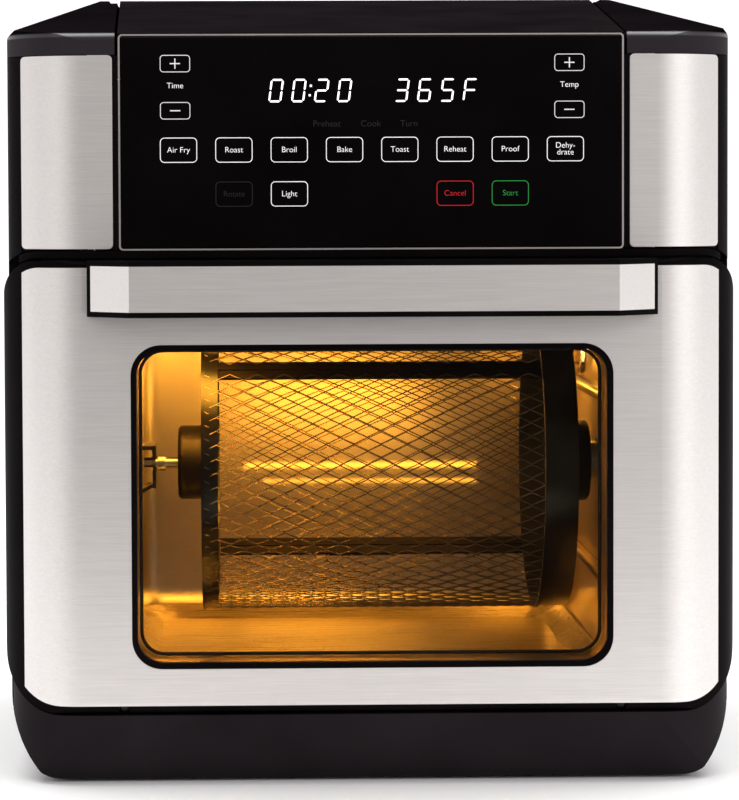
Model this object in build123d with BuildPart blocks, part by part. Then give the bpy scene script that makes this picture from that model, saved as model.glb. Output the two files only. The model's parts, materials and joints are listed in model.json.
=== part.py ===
from build123d import *
from math import cos, radians, sin
import os

os.makedirs("parts", exist_ok=True)

# A countertop rotisserie oven. Millimetres, +Z up, the door faces -Y.
# The origin is on the table, under the middle of the object.

# ---------------------------------------------------------------- driving dimensions

overall_height = 364.0
overall_depth = 336.0
door_width = 336.0            # before its corners are rounded in plan; 333.6 remains
body_width = 330.0

half_depth = overall_depth / 2
door_face = -142.0            # Y of the door's front face
door_back = -113.5            # Y of the door's rear face
door_bottom = 32.5
door_top = 237.0
door_half = door_width / 2
door_corner = 38.0            # plan radius of the door's front corners
heel = 1.6                    # bevel that lets the door's lower rear edge swing past the seal
gap = 0.8                     # running gap round the door

body_front = -141.0
body_rear = 158.0
body_half = body_width / 2
body_front_radius = 36.0
body_rear_radius = 24.0
wall = 2.5                    # plastic wall of the casings
foot_height = 1.5             # base floor above the table
base_top = 31.3
shoulder = 328.5              # parting between side housings and top caps
front_lip = 338.4             # top of the body at the control panel
steel = 0.8                   # stainless cladding

panel_half = 112.2
panel_bottom = 241.9
panel_top = 336.7
cladding_inner = 116.0
cladding_outer = 157.5

window_width = 216.8
window_height = 146.0
window_z = 125.7
window_radius = 13.6
window_lip = 2.5

hinge_y = door_face + 5.0
hinge_z = door_bottom + 5.0
hinge_x = 112.0
hinge_pin_radius = 2.0

liner_half = 118.0
liner_floor = 40.0
liner_roof = 224.0
liner_rear = 130.0
liner_front = -110.5
liner_sheet = 1.0

axis_y = 8.0                  # basket axis
axis_z = 133.3
drum_radius = 72.0
drum_left = -78.0
drum_right = 101.4
mesh_left = -70.0
mesh_right = 85.5
split_angle = 43.0            # tilt of the plane where the drum opens
hub_radius = 18.3
drive_hub_radius = 20.0       # the hub at the driven end
hub_length = 12.0

fan_x = 0.0
fan_y = 8.0
far = 400.0                   # longer than anything in the oven


# ---------------------------------------------------------------- shared forms

def front_plane(y):
    """A plane facing -Y at the given depth."""
    return Plane.XZ.offset(-y)


def body_form(inset):
    """The casing's outer form, moved inward by inset."""
    with BuildPart() as form:
        with BuildSketch(Plane.XY):
            with Locations((0, (body_front + body_rear) / 2)):
                Rectangle(body_width, body_rear - body_front)
            fillet(vertices().group_by(Axis.Y)[0], body_front_radius)
            fillet(vertices().group_by(Axis.Y)[-1], body_rear_radius)
            if inset:
                offset(amount=-inset)
        extrude(amount=overall_height)
        with BuildSketch(Plane.XZ):
            with BuildLine():
                Line((0, foot_height), (141, foot_height))
                ThreePointArc((141, foot_height), (146, 2.4), (150, 4.6))
                ThreePointArc((150, 4.6), (160.6, 20.5), (body_half, 44))
                Line((body_half, 44), (body_half, 337))
                Line((body_half, 337), (129, overall_height))
                Line((129, overall_height), (0, overall_height))
                mirror(about=Plane.YZ)
            make_face()
            if inset:
                offset(amount=-inset)
        extrude(amount=far, both=True, mode=Mode.INTERSECT)
        with BuildSketch(Plane.YZ):
            with BuildLine():
                Line((148, foot_height), (-131, foot_height))
                ThreePointArc((-131, foot_height), (-137.4, 13), (body_front, 32))
                Line((body_front, 32), (body_front, 334.4))
                ThreePointArc((body_front, 334.4), (-139.9, 337.2), (-137, front_lip))
                Line((-137, front_lip), (50, overall_height))
                Line((50, overall_height), (75, overall_height))
                Line((75, overall_height), (148, 350))
                ThreePointArc((148, 350), (155, 346), (body_rear, 338))
                Line((body_rear, 338), (body_rear, 14))
                ThreePointArc((body_rear, 14), (155.1, 5.2), (148, foot_height))
            make_face()
            if inset:
                offset(amount=-inset)
        extrude(amount=far, both=True, mode=Mode.INTERSECT)
    return form.part


def door_prism(grow, depth_from, depth):
    """The door's front-view outline, grown by grow, from one depth towards the front."""
    with BuildPart() as prism:
        with BuildSketch(front_plane(depth_from)):
            with BuildLine():
                Line((-165.8, door_bottom), (165.8, door_bottom))
                ThreePointArc((165.8, door_bottom), (door_half, 145), (166.4, door_top))
                Line((166.4, door_top), (-166.4, door_top))
                ThreePointArc((-166.4, door_top), (-door_half, 145), (-165.8, door_bottom))
            make_face()
            fillet(vertices().group_by(Axis.Y)[0], 26)
            fillet(vertices().group_by(Axis.Y)[-1], 17)
            if grow:
                offset(amount=grow)
        extrude(amount=depth)
    return prism.part


def door_form(face_inset, edge_inset):
    """The door's curved slab, with its face and its edges moved inward."""
    outline = door_prism(-edge_inset, door_back, 40)
    with BuildPart() as form:
        with BuildSketch(Plane.XY):
            with Locations((0, door_face + face_inset + 40)):
                Rectangle(2 * (door_half - face_inset), 80)
            fillet(vertices().group_by(Axis.Y)[0], door_corner - face_inset)
        extrude(amount=overall_height)
        add(outline, mode=Mode.INTERSECT)
        with BuildSketch(Plane.YZ):
            with BuildLine():
                Line((door_back, door_bottom + heel), (door_back - heel, door_bottom))
                Line((door_back - heel, door_bottom), (hinge_y, door_bottom))
                RadiusArc((hinge_y, door_bottom), (door_face, hinge_z), 5.0)
                Line((door_face, hinge_z), (door_face, door_top - 2))
                Line((door_face, door_top - 2), (door_face + 2, door_top - 0.2))
                Line((door_face + 2, door_top - 0.2), (door_back, door_top - 2.6))
                Line((door_back, door_top - 2.6), (door_back, door_bottom + heel))
            make_face()
        extrude(amount=far, both=True, mode=Mode.INTERSECT)
    return form.part


def slab(x_low, x_high, y_low, y_high, z_low, z_high):
    """A plain block between two corners, used to keep or remove a region."""
    with BuildPart() as block:
        with BuildSketch(Plane.XY.offset(z_low)):
            with Locations(((x_low + x_high) / 2, (y_low + y_high) / 2)):
                Rectangle(x_high - x_low, y_high - y_low)
        extrude(amount=z_high - z_low)
    return block.part


def rounded_prism(width, height, radius, z_mid, y_front, y_rear):
    """A rounded rectangle seen from the front, between two depths."""
    with BuildPart() as prism:
        with BuildSketch(front_plane(y_rear)):
            with Locations((0, z_mid)):
                RectangleRounded(width, height, radius)
        extrude(amount=y_rear - y_front)
    return prism.part


def cover_plan(grow, z_low):
    """The centre top cover's plan, which widens towards the back."""
    with BuildPart() as plan:
        with BuildSketch(Plane.XY.offset(z_low)):
            with BuildLine():
                Line((112.9 + grow, -160), (119 + grow, 50))
                Line((119 + grow, 50), (119 + grow, 170))
                Line((119 + grow, 170), (0, 170))
                Line((112.9 + grow, -160), (0, -160))
                mirror(about=Plane.YZ)
            make_face()
        extrude(amount=80)
    return plan.part


body_outer = body_form(0)
body_inner = body_form(wall)
body_clad = body_form(steel)
base_inner = body_form(3.0)
door_outer = door_form(0, 0)
door_behind_skin = door_form(steel, 0)
door_hollow = door_form(3.0, 4.5)
door_clear_front = door_prism(gap, -108, 60)
door_clear_wide = door_prism(4.5, -108, 60)
door_clear_trim = door_prism(3.8, -108, 60)
door_clear_base = door_prism(gap, -114.2, 60)
skin_outline = door_prism(-3.6, -112, 60)

with BuildPart() as body_shell:
    add(body_outer)
    add(body_inner, mode=Mode.SUBTRACT)

with BuildPart() as clad_shell:
    add(body_outer)
    add(body_clad, mode=Mode.SUBTRACT)


# ---------------------------------------------------------------- base and feet

foot_spots = [(-112, -100), (112, -100), (-112, 118), (112, 118)]

base_low = slab(-far, far, -far, far, 0, base_top)
base_cheeks = slab(-far, far, -far, -114.2, 0, 62)
base_front_hollow = slab(-far, far, -far, -106, 0, 28.3)
base_rear_hollow = slab(-far, far, -106.5, far, 0, 60)

with BuildPart() as base_floor_room:
    add(base_inner)
    add(base_front_hollow + base_rear_hollow, mode=Mode.INTERSECT)

with BuildPart() as base_shell:
    add(body_outer)
    add(base_low + base_cheeks, mode=Mode.INTERSECT)
    add(door_clear_base, mode=Mode.SUBTRACT)
    add(base_floor_room.part, mode=Mode.SUBTRACT)
    # bosses that carry the hinge brackets
    with BuildSketch(Plane.XY.offset(4)):
        with Locations((-hinge_x, -116), (hinge_x, -116)):
            Rectangle(14, 18)
    extrude(amount=12)
    # slots in the sill for the bracket arms
    with BuildSketch(Plane.XY.offset(26)):
        with Locations((-hinge_x, -123), (hinge_x, -123)):
            Rectangle(4.2, 28)
    extrude(amount=12, mode=Mode.SUBTRACT)
    # pockets for the feet
    with BuildSketch(Plane.XY):
        with Locations(*foot_spots):
            Circle(11.2)
    extrude(amount=3.0, mode=Mode.SUBTRACT)
    # air intake slots in the floor
    with BuildSketch(Plane.XY):
        with GridLocations(9, 40, 13, 3):
            SlotOverall(26, 3.2, rotation=90)
    extrude(amount=10, mode=Mode.SUBTRACT)
base_shell.part.label = "base_shell"
export_step(base_shell.part, "parts/base_shell.step")

with BuildPart() as rubber_feet:
    with BuildSketch(Plane.XY):
        with Locations(*foot_spots):
            Circle(11)
    extrude(amount=3.0)
    chamfer(rubber_feet.edges().filter_by(GeomType.CIRCLE).group_by(Axis.Z)[0], 0.6)
rubber_feet.part.label = "rubber_feet"
export_step(rubber_feet.part, "parts/rubber_feet.step")


# ---------------------------------------------------------------- casings

rear_cover_half = 137.5
screw_spots = [(x, z) for x in (-128, 128) for z in (45, 185, 322)]
inlet_x = -98.0
inlet_z = 58.0

trim_low = door_top + 4.8
trim_high = shoulder - 0.4
trim_corner = 2.0

for side, name in ((-1, "left"), (1, "right")):
    near = min(side * 20, side * 200)
    away = max(side * 20, side * 200)
    rear_zone = slab(near, away, -112.3, far, base_top + 0.3, shoulder - 0.3)
    upper_zone = slab(*sorted((side * 113.5, side * 200)), -far, -112.3, 200, shoulder - 0.3)
    cover_zone = slab(-rear_cover_half - 0.4, rear_cover_half + 0.4, 150, far, 0, far)
    trim_zone = slab(*sorted((side * (cladding_inner - 0.2), side * (cladding_outer + 0.2))),
                     -far, -100, 200, shoulder - 0.2)
    with BuildPart() as side_housing:
        add(body_shell.part)
        add(rear_zone + upper_zone, mode=Mode.INTERSECT)
        add(door_clear_wide, mode=Mode.SUBTRACT)
        add(cover_zone, mode=Mode.SUBTRACT)
        add(clad_shell.part & trim_zone, mode=Mode.SUBTRACT)
    side_housing.part.label = f"side_housing_{name}"
    export_step(side_housing.part, f"parts/side_housing_{name}.step")

    trim_below = door_prism(4.8, -100, 60)
    with BuildPart() as trim_piece:
        with BuildSketch(front_plane(-100)):
            with Locations((side * (cladding_inner + cladding_outer) / 2, (trim_low + trim_high) / 2)):
                RectangleRounded(cladding_outer - cladding_inner, trim_high - trim_low, trim_corner)
        extrude(amount=100)
    with BuildPart() as upper_trim:
        add(clad_shell.part)
        add(trim_piece.part, mode=Mode.INTERSECT)
        add(trim_below, mode=Mode.SUBTRACT)
    upper_trim.part.label = f"upper_trim_{name}"
    export_step(upper_trim.part, f"parts/upper_trim_{name}.step")

    cap_zone = slab(near, away, -far, far, shoulder, far)
    step_zone = slab(*sorted((side * 100, side * 124.5)), -far, far, overall_height - 2, far)
    with BuildPart() as top_cap:
        add(body_shell.part)
        add(cap_zone, mode=Mode.INTERSECT)
        add(cover_plan(1.2, 300), mode=Mode.SUBTRACT)
        add(step_zone, mode=Mode.SUBTRACT)
    top_cap.part.label = f"top_cap_{name}"
    export_step(top_cap.part, f"parts/top_cap_{name}.step")

top_front_zone = slab(-far, far, -far, -137.2, 337.9, far)
top_rest_zone = slab(-far, far, -137.2, far, shoulder, far)
with BuildPart() as top_cover:
    add(body_shell.part)
    add(top_front_zone + top_rest_zone, mode=Mode.INTERSECT)
    add(cover_plan(0, 300), mode=Mode.INTERSECT)
    # exhaust slots on the slope behind the crest
    with BuildSketch(Plane.XY.offset(300)):
        with Locations((0, 112)):
            with GridLocations(13, 30, 13, 2):
                SlotOverall(22, 3.0, rotation=90)
    extrude(amount=80, mode=Mode.SUBTRACT)
top_cover.part.label = "top_cover"
export_step(top_cover.part, "parts/top_cover.step")

rear_zone = slab(-rear_cover_half, rear_cover_half, 150, far, base_top + 0.3, shoulder - 0.3)
with BuildPart() as rear_cover:
    add(body_shell.part)
    add(rear_zone, mode=Mode.INTERSECT)
    # louvres
    with BuildSketch(front_plane(170)):
        with Locations((0, 255)):
            with GridLocations(46, 9, 4, 8):
                SlotOverall(38, 3.4)
        with Locations((0, 110)):
            with GridLocations(46, 9, 4, 4):
                SlotOverall(38, 3.4)
        with Locations(*screw_spots):
            Circle(1.7)
        with Locations((inlet_x, inlet_z)):
            Circle(8.0)
    extrude(amount=30, mode=Mode.SUBTRACT)
rear_cover.part.label = "rear_cover"
export_step(rear_cover.part, "parts/rear_cover.step")

with BuildPart() as rear_spacers:
    with BuildSketch(front_plane(half_depth)):
        with Locations((-70, 316), (70, 316), (-60, 52), (60, 52)):
            RectangleRounded(44, 14, 5)
    extrude(amount=half_depth - body_rear)
    chamfer(rear_spacers.faces().filter_by(Axis.Y).group_by(Axis.Y)[-1].edges(), 1.5)
rear_spacers.part.label = "rear_spacers"
export_step(rear_spacers.part, "parts/rear_spacers.step")

with BuildPart() as cord_inlet:
    with BuildSketch(front_plane(150)):
        with Locations((inlet_x, inlet_z)):
            Circle(7.8)
    extrude(amount=-12)
    with BuildSketch(front_plane(body_rear)):
        with Locations((inlet_x, inlet_z)):
            Circle(11)
    extrude(amount=-3)
    with BuildSketch(front_plane(140)):
        with Locations((inlet_x, inlet_z)):
            Circle(3.6)
    extrude(amount=-40, mode=Mode.SUBTRACT)
cord_inlet.part.label = "cord_inlet"
export_step(cord_inlet.part, "parts/cord_inlet.step")

with BuildPart() as housing_screws:
    with BuildSketch(front_plane(148)):
        with Locations(*screw_spots):
            Circle(1.5)
    extrude(amount=-10)
    with BuildSketch(front_plane(body_rear)):
        with Locations(*screw_spots):
            Circle(3.2)
    extrude(amount=-2)
    with BuildSketch(front_plane(body_rear + 1)):
        with Locations(*screw_spots):
            Rectangle(3.6, 0.7)
            Rectangle(0.7, 3.6)
    extrude(amount=-2, mode=Mode.SUBTRACT)
housing_screws.part.label = "housing_screws"
export_step(housing_screws.part, "parts/housing_screws.step")


# ---------------------------------------------------------------- control head

waist_zone = slab(-far, far, -far, -125, 215, 300)
with BuildPart() as waist_trim:
    add(body_outer)
    add(waist_zone, mode=Mode.INTERSECT)
    add(door_clear_trim, mode=Mode.INTERSECT)
    add(door_clear_front, mode=Mode.SUBTRACT)
waist_trim.part.label = "waist_trim"
export_step(waist_trim.part, "parts/waist_trim.step")

frame_front = -137.6
standoffs = [(x, z) for x in (-96, 96) for z in (258, 320)]
with BuildPart() as upper_front_frame:
    with BuildSketch(front_plane(-134.6)):
        with Locations((0, (panel_bottom + panel_top) / 2 - 0.7)):
            RectangleRounded(2 * panel_half, panel_top - panel_bottom - 1.4, 2)
        with Locations((0, 308)):
            Rectangle(110, 26, mode=Mode.SUBTRACT)
    extrude(amount=3.0)
    with BuildSketch(front_plane(-114)):
        with Locations((0, panel_bottom + 1.2)):
            Rectangle(2 * panel_half, 2.4)
    extrude(amount=21)
    with BuildSketch(front_plane(-134.8)):
        with Locations(*standoffs):
            Circle(3.5)
    extrude(amount=-8.8)
upper_front_frame.part.label = "upper_front_frame"
export_step(upper_front_frame.part, "parts/upper_front_frame.step")

with BuildPart() as control_panel_glass:
    with BuildSketch(front_plane(-137.8)):
        with Locations((0, (panel_bottom + panel_top) / 2)):
            RectangleRounded(2 * panel_half, panel_top - panel_bottom, 1.2)
    extrude(amount=3.2)
    chamfer(control_panel_glass.faces().sort_by(Axis.Y)[0].edges(), 0.5)
control_panel_glass.part.label = "control_panel_glass"
export_step(control_panel_glass.part, "parts/control_panel_glass.step")

with BuildPart() as panel_trim:
    with BuildSketch(front_plane(-137.8)):
        with Locations((0, (panel_bottom + panel_top) / 2)):
            RectangleRounded(2 * panel_half + 1.9, panel_top - panel_bottom + 1.7, 1.8)
            RectangleRounded(2 * panel_half + 0.3, panel_top - panel_bottom + 0.3, 1.3,
                             mode=Mode.SUBTRACT)
    extrude(amount=3.0)
panel_trim.part.label = "panel_trim"
export_step(panel_trim.part, "parts/panel_trim.step")

with BuildPart() as control_board:
    with BuildSketch(front_plane(-124.2)):
        with Locations((0, 289)):
            Rectangle(206, 78)
    extrude(amount=1.6)
    with BuildSketch(front_plane(-124.2)):
        with Locations((-60, 275), (45, 268)):
            Rectangle(22, 14)
        with Locations((-20, 270), (8, 262), (75, 280)):
            Rectangle(10, 10)
    extrude(amount=-5)
control_board.part.label = "control_board"
export_step(control_board.part, "parts/control_board.step")

with BuildPart() as display_module:
    with BuildSketch(front_plane(-125.8)):
        with Locations((0, 308)):
            Rectangle(106, 22)
    extrude(amount=11.2)
    chamfer(display_module.faces().sort_by(Axis.Y)[0].edges(), 0.6)
display_module.part.label = "display_module"
export_step(display_module.part, "parts/display_module.step")


# ---------------------------------------------------------------- oven cavity

lamp_y = 72.0
lamp_z = 189.0
fan_opening = 58.0
element_radii = (66.0, 86.0)
element_z = 216.0
element_tube = 3.25
lead_angles = (80, 100)
switch_x = 128.0
switch_z = 215.0


def liner_block(inset):
    """The cavity's box, with rounded rear corners, moved inward by inset."""
    with BuildPart() as block:
        with BuildSketch(front_plane(liner_rear + liner_sheet - inset)):
            with Locations((0, (liner_floor + liner_roof) / 2)):
                RectangleRounded(2 * (liner_half + liner_sheet - inset),
                                 liner_roof - liner_floor + 2 * (liner_sheet - inset),
                                 20 - inset)
        extrude(amount=liner_rear + liner_sheet - inset - liner_front)
        fillet(block.faces().sort_by(Axis.Y)[-1].edges(), 18 - inset)
    return block.part


liner_outside = liner_block(0)
liner_inside = liner_block(liner_sheet)

with BuildPart() as cavity_liner:
    add(liner_outside)
    add(liner_inside, mode=Mode.SUBTRACT)
    with BuildSketch(Plane.XY.offset(liner_roof - 4)):
        with Locations((fan_x, fan_y)):
            Circle(fan_opening)
            for radius in element_radii:
                with PolarLocations(radius, 2, start_angle=lead_angles[0],
                                    angular_range=lead_angles[1] - lead_angles[0], endpoint=True):
                    Circle(element_tube + 0.5)
    extrude(amount=10, mode=Mode.SUBTRACT)
    with BuildSketch(Plane.YZ.offset(liner_half - 2)):
        with Locations((axis_y, axis_z)):
            Circle(11)
        with Locations((lamp_y, lamp_z)):
            Circle(13)
    extrude(amount=6, mode=Mode.SUBTRACT)
    with BuildSketch(Plane.YZ.offset(-liner_half - 3)):
        with Locations((100, 200)):
            Circle(2.6)
    extrude(amount=6, mode=Mode.SUBTRACT)
cavity_liner.part.label = "cavity_liner"
export_step(cavity_liner.part, "parts/cavity_liner.step")

with BuildPart() as cavity_front_frame:
    with BuildSketch(front_plane(-110.6)):
        with Locations((0, 136)):
            RectangleRounded(320, 206, 20)
        with Locations((0, (liner_floor + liner_roof) / 2)):
            RectangleRounded(2 * liner_half, liner_roof - liner_floor, 19, mode=Mode.SUBTRACT)
        with Locations((-switch_x, switch_z), (switch_x, switch_z)):
            Circle(6, mode=Mode.SUBTRACT)
    extrude(amount=1.4)
cavity_front_frame.part.label = "cavity_front_frame"
export_step(cavity_front_frame.part, "parts/cavity_front_frame.step")

with BuildPart() as door_seal:
    with BuildSketch(front_plane(-112)):
        with Locations((0, (liner_floor + liner_roof) / 2)):
            RectangleRounded(2 * liner_half + 13, liner_roof - liner_floor + 9, 24)
            RectangleRounded(2 * liner_half + 4, liner_roof - liner_floor + 2, 20,
                             mode=Mode.SUBTRACT)
    extrude(amount=1.1)
door_seal.part.label = "door_seal"
export_step(door_seal.part, "parts/door_seal.step")

with BuildPart() as shelf_rails:
    for side in (-1, 1):
        for height in (82.0, 168.5):
            with BuildSketch(Plane.XZ.offset(-110)):
                with Locations((side * (liner_half - 3.2), height)):
                    RectangleRounded(6.2, 5.0, 2.2)
            extrude(amount=200)
shelf_rails.part.label = "shelf_rails"
export_step(shelf_rails.part, "parts/shelf_rails.step")

tray_half = 112.0
tray_front = -104.0
tray_rear = 123.0
tray_bottom = liner_floor + 0.3
tray_rim = 48.0


def tray_block(inset, bottom):
    """The tray's flared block, moved inward by inset."""
    middle = (tray_front + tray_rear) / 2
    length = tray_rear - tray_front
    with BuildPart() as block:
        with BuildSketch(Plane.XY.offset(bottom)):
            with Locations((0, middle)):
                RectangleRounded(2 * (tray_half - 11 - inset), length - 2 * (11 + inset), 14)
        with BuildSketch(Plane.XY.offset(tray_rim)):
            with Locations((0, middle)):
                RectangleRounded(2 * (tray_half - inset), length - 2 * inset, 18)
        loft()
    return block.part


tray_outside = tray_block(0, tray_bottom)
tray_inside = tray_block(1.0, tray_bottom + 1.0)
with BuildPart() as drip_tray:
    add(tray_outside)
    add(tray_inside, mode=Mode.SUBTRACT)
drip_tray.part.label = "drip_tray"
export_step(drip_tray.part, "parts/drip_tray.step")

with BuildPart() as heating_element:
    for radius in element_radii:
        with BuildLine() as loop:
            CenterArc((fan_x, fan_y, element_z), radius, lead_angles[1],
                      360 - (lead_angles[1] - lead_angles[0]))
        with BuildSketch(Plane(origin=loop.line @ 0, z_dir=loop.line % 0)):
            Circle(element_tube)
        sweep(path=loop.line)
        for angle in lead_angles:
            spot = (fan_x + radius * cos(radians(angle)), fan_y + radius * sin(radians(angle)))
            with BuildSketch(Plane.XY.offset(element_z)):
                with Locations(spot):
                    Circle(element_tube)
            extrude(amount=22)
heating_element.part.label = "heating_element"
export_step(heating_element.part, "parts/heating_element.step")

with BuildPart() as element_clips:
    for angle in (20, 160, 270):
        hanger = Plane.XY.rotated((0, 0, angle)).offset(element_z - element_tube - 1.4)
        with BuildSketch(Plane(origin=(fan_x, fan_y, hanger.origin.Z), x_dir=hanger.x_dir)):
            with Locations((76, 0)):
                Rectangle(34, 9)
        extrude(amount=1.2)
        with BuildSketch(Plane(origin=(fan_x, fan_y, hanger.origin.Z), x_dir=hanger.x_dir)):
            with Locations((76, 0)):
                Rectangle(3, 9)
        extrude(amount=liner_roof - hanger.origin.Z)
element_clips.part.label = "element_clips"
export_step(element_clips.part, "parts/element_clips.step")

guard_z = 208.6
with BuildPart() as fan_guard:
    with BuildSketch(Plane.XY.offset(guard_z)):
        with Locations((fan_x, fan_y)):
            RectangleRounded(206, 200, 12)
            with GridLocations(11, 44, 17, 4):
                SlotOverall(38, 5.0, rotation=90, mode=Mode.SUBTRACT)
    extrude(amount=1.0)
    with BuildSketch(Plane.XY.offset(guard_z + 1)):
        with Locations((fan_x, fan_y)):
            with GridLocations(188, 182, 2, 2):
                Circle(2.5)
    extrude(amount=liner_roof - guard_z - 1)
fan_guard.part.label = "fan_guard"
export_step(fan_guard.part, "parts/fan_guard.step")

dome_top = 247.0
with BuildPart() as fan_housing:
    with BuildSketch(Plane.XY.offset(liner_roof + liner_sheet)):
        with Locations((fan_x, fan_y)):
            Circle(60.5)
    extrude(amount=dome_top - liner_roof - liner_sheet)
    fillet(fan_housing.edges().group_by(Axis.Z)[-1], 6)
    offset(amount=-1.0, openings=fan_housing.faces().sort_by(Axis.Z)[0])
    with BuildSketch(Plane.XY.offset(dome_top - 4)):
        with Locations((fan_x, fan_y)):
            Circle(6)
    extrude(amount=8, mode=Mode.SUBTRACT)
fan_housing.part.label = "fan_housing"
export_step(fan_housing.part, "parts/fan_housing.step")

with BuildPart() as convection_fan:
    with BuildSketch(Plane.XY.offset(240)):
        with Locations((fan_x, fan_y)):
            Circle(52)
    extrude(amount=1.2)
    with BuildSketch(Plane.XY.offset(228)):
        with Locations((fan_x, fan_y)):
            Circle(8)
    extrude(amount=12)
    with BuildSketch(Plane.XY.offset(229)):
        with Locations((fan_x, fan_y)):
            with PolarLocations(30, 10):
                Rectangle(44, 1.2, rotation=24)
    extrude(amount=11)
    with BuildSketch(Plane.XY.offset(220)):
        with Locations((fan_x, fan_y)):
            Circle(3.0)
    extrude(amount=40, mode=Mode.SUBTRACT)
convection_fan.part.label = "convection_fan"
export_step(convection_fan.part, "parts/convection_fan.step")

with BuildPart() as fan_shaft:
    with BuildSketch(Plane.XY.offset(227)):
        with Locations((fan_x, fan_y)):
            Circle(2.98)
    extrude(amount=87)
fan_shaft.part.label = "fan_shaft"
export_step(fan_shaft.part, "parts/fan_shaft.step")

with BuildPart() as fan_motor:
    with BuildSketch(Plane.XY.offset(260)):
        with Locations((fan_x, fan_y)):
            RectangleRounded(64, 56, 8)
    extrude(amount=30)
    with BuildSketch(Plane.XY.offset(256)):
        with Locations((fan_x, fan_y)):
            Circle(13)
    extrude(amount=38)
    with BuildSketch(Plane.XY.offset(dome_top)):
        with Locations((fan_x, fan_y)):
            with GridLocations(50, 42, 2, 2):
                Circle(3)
    extrude(amount=14)
    with BuildSketch(Plane.XY.offset(250)):
        with Locations((fan_x, fan_y)):
            Circle(3.05)
    extrude(amount=50, mode=Mode.SUBTRACT)
fan_motor.part.label = "fan_motor"
export_step(fan_motor.part, "parts/fan_motor.step")

with BuildPart() as cooling_fan:
    with BuildSketch(Plane.XY.offset(298)):
        with Locations((fan_x, fan_y)):
            Circle(9)
    extrude(amount=14)
    with BuildSketch(Plane.XY.offset(299)):
        with Locations((fan_x, fan_y)):
            with PolarLocations(25, 9):
                Rectangle(36, 1.2, rotation=30)
    extrude(amount=10)
    with BuildSketch(Plane.XY.offset(299)):
        with Locations((fan_x, fan_y)):
            Circle(42)
    extrude(amount=1.0)
    with BuildSketch(Plane.XY.offset(290)):
        with Locations((fan_x, fan_y)):
            Circle(3.0)
    extrude(amount=40, mode=Mode.SUBTRACT)
cooling_fan.part.label = "cooling_fan"
export_step(cooling_fan.part, "parts/cooling_fan.step")

with BuildPart() as lamp_cover:
    with BuildSketch(Plane.YZ.offset(liner_half)):
        with Locations((lamp_y, lamp_z)):
            Circle(16)
    extrude(amount=-2)
    with BuildSketch(Plane.YZ.offset(liner_half - 2)):
        with Locations((lamp_y, lamp_z)):
            Circle(12.5)
    extrude(amount=-4)
    fillet(lamp_cover.edges().group_by(Axis.X)[0], 3)
    with BuildSketch(Plane.YZ.offset(liner_half)):
        with Locations((lamp_y, lamp_z)):
            Circle(10.5)
    extrude(amount=-4.5, mode=Mode.SUBTRACT)
lamp_cover.part.label = "lamp_cover"
export_step(lamp_cover.part, "parts/lamp_cover.step")

with BuildPart() as lamp_bulb:
    with BuildSketch(Plane.YZ.offset(liner_half)):
        with Locations((lamp_y, lamp_z)):
            Circle(7)
    extrude(amount=14)
    fillet(lamp_bulb.edges().group_by(Axis.X)[0], 6)
    with BuildSketch(Plane.YZ.offset(132)):
        with Locations((lamp_y, lamp_z)):
            Circle(5)
    extrude(amount=7)
lamp_bulb.part.label = "lamp_bulb"
export_step(lamp_bulb.part, "parts/lamp_bulb.step")

with BuildPart() as lamp_socket:
    with BuildSketch(Plane.YZ.offset(133)):
        with Locations((lamp_y, lamp_z)):
            Circle(11)
            Circle(5.2, mode=Mode.SUBTRACT)
    extrude(amount=8)
    with BuildSketch(Plane.YZ.offset(139.2)):
        with Locations((lamp_y, lamp_z)):
            Circle(11)
    extrude(amount=10)
    with BuildSketch(Plane.YZ.offset(liner_half + liner_sheet)):
        with Locations((lamp_y, lamp_z)):
            Circle(20)
            Circle(16, mode=Mode.SUBTRACT)
    extrude(amount=15)
    with BuildSketch(Plane.YZ.offset(132.5)):
        with Locations((lamp_y, lamp_z)):
            Circle(20)
            Circle(10, mode=Mode.SUBTRACT)
    extrude(amount=1.5)
lamp_socket.part.label = "lamp_socket"
export_step(lamp_socket.part, "parts/lamp_socket.step")

with BuildPart() as temperature_probe:
    with BuildSketch(Plane.YZ.offset(-128)):
        with Locations((100, 200)):
            Circle(2)
    extrude(amount=25)
    with BuildSketch(Plane.YZ.offset(-128)):
        with Locations((100, 200)):
            RegularPolygon(6, 6)
    extrude(amount=8)
temperature_probe.part.label = "temperature_probe"
export_step(temperature_probe.part, "parts/temperature_probe.step")

power_board_posts = [(x, y) for x in (-142, -84) for y in (36, 116)]
with BuildPart() as power_board:
    with BuildSketch(Plane.XY.offset(240)):
        with Locations((-113, 76)):
            Rectangle(66, 92)
    extrude(amount=1.6)
    with BuildSketch(Plane.XY.offset(241.6)):
        with Locations((-130, 60), (-130, 95)):
            Rectangle(20, 26)
        with Locations((-100, 52), (-100, 70)):
            Rectangle(16, 12)
        with Locations((-98, 100)):
            Circle(9)
    extrude(amount=17)
    with BuildSketch(Plane.XY.offset(liner_roof + liner_sheet)):
        with Locations(*power_board_posts):
            Circle(3)
    extrude(amount=15)
power_board.part.label = "power_board"
export_step(power_board.part, "parts/power_board.step")


# ---------------------------------------------------------------- rotisserie drive

socket_left = 114.6
with BuildPart() as drive_socket:
    with BuildSketch(Plane.YZ.offset(socket_left)):
        with Locations((axis_y, axis_z)):
            Circle(9.5)
    extrude(amount=9.4)
    with BuildSketch(Plane.YZ.offset(socket_left)):
        with Locations((axis_y, axis_z)):
            Rectangle(8.8, 8.8)
    extrude(amount=7.4, mode=Mode.SUBTRACT)
    with BuildSketch(Plane.YZ.offset(socket_left + 9.2)):
        with Locations((axis_y, axis_z)):
            Circle(3.5)
    extrude(amount=9)
drive_socket.part.label = "drive_socket"
export_step(drive_socket.part, "parts/drive_socket.step")

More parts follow.
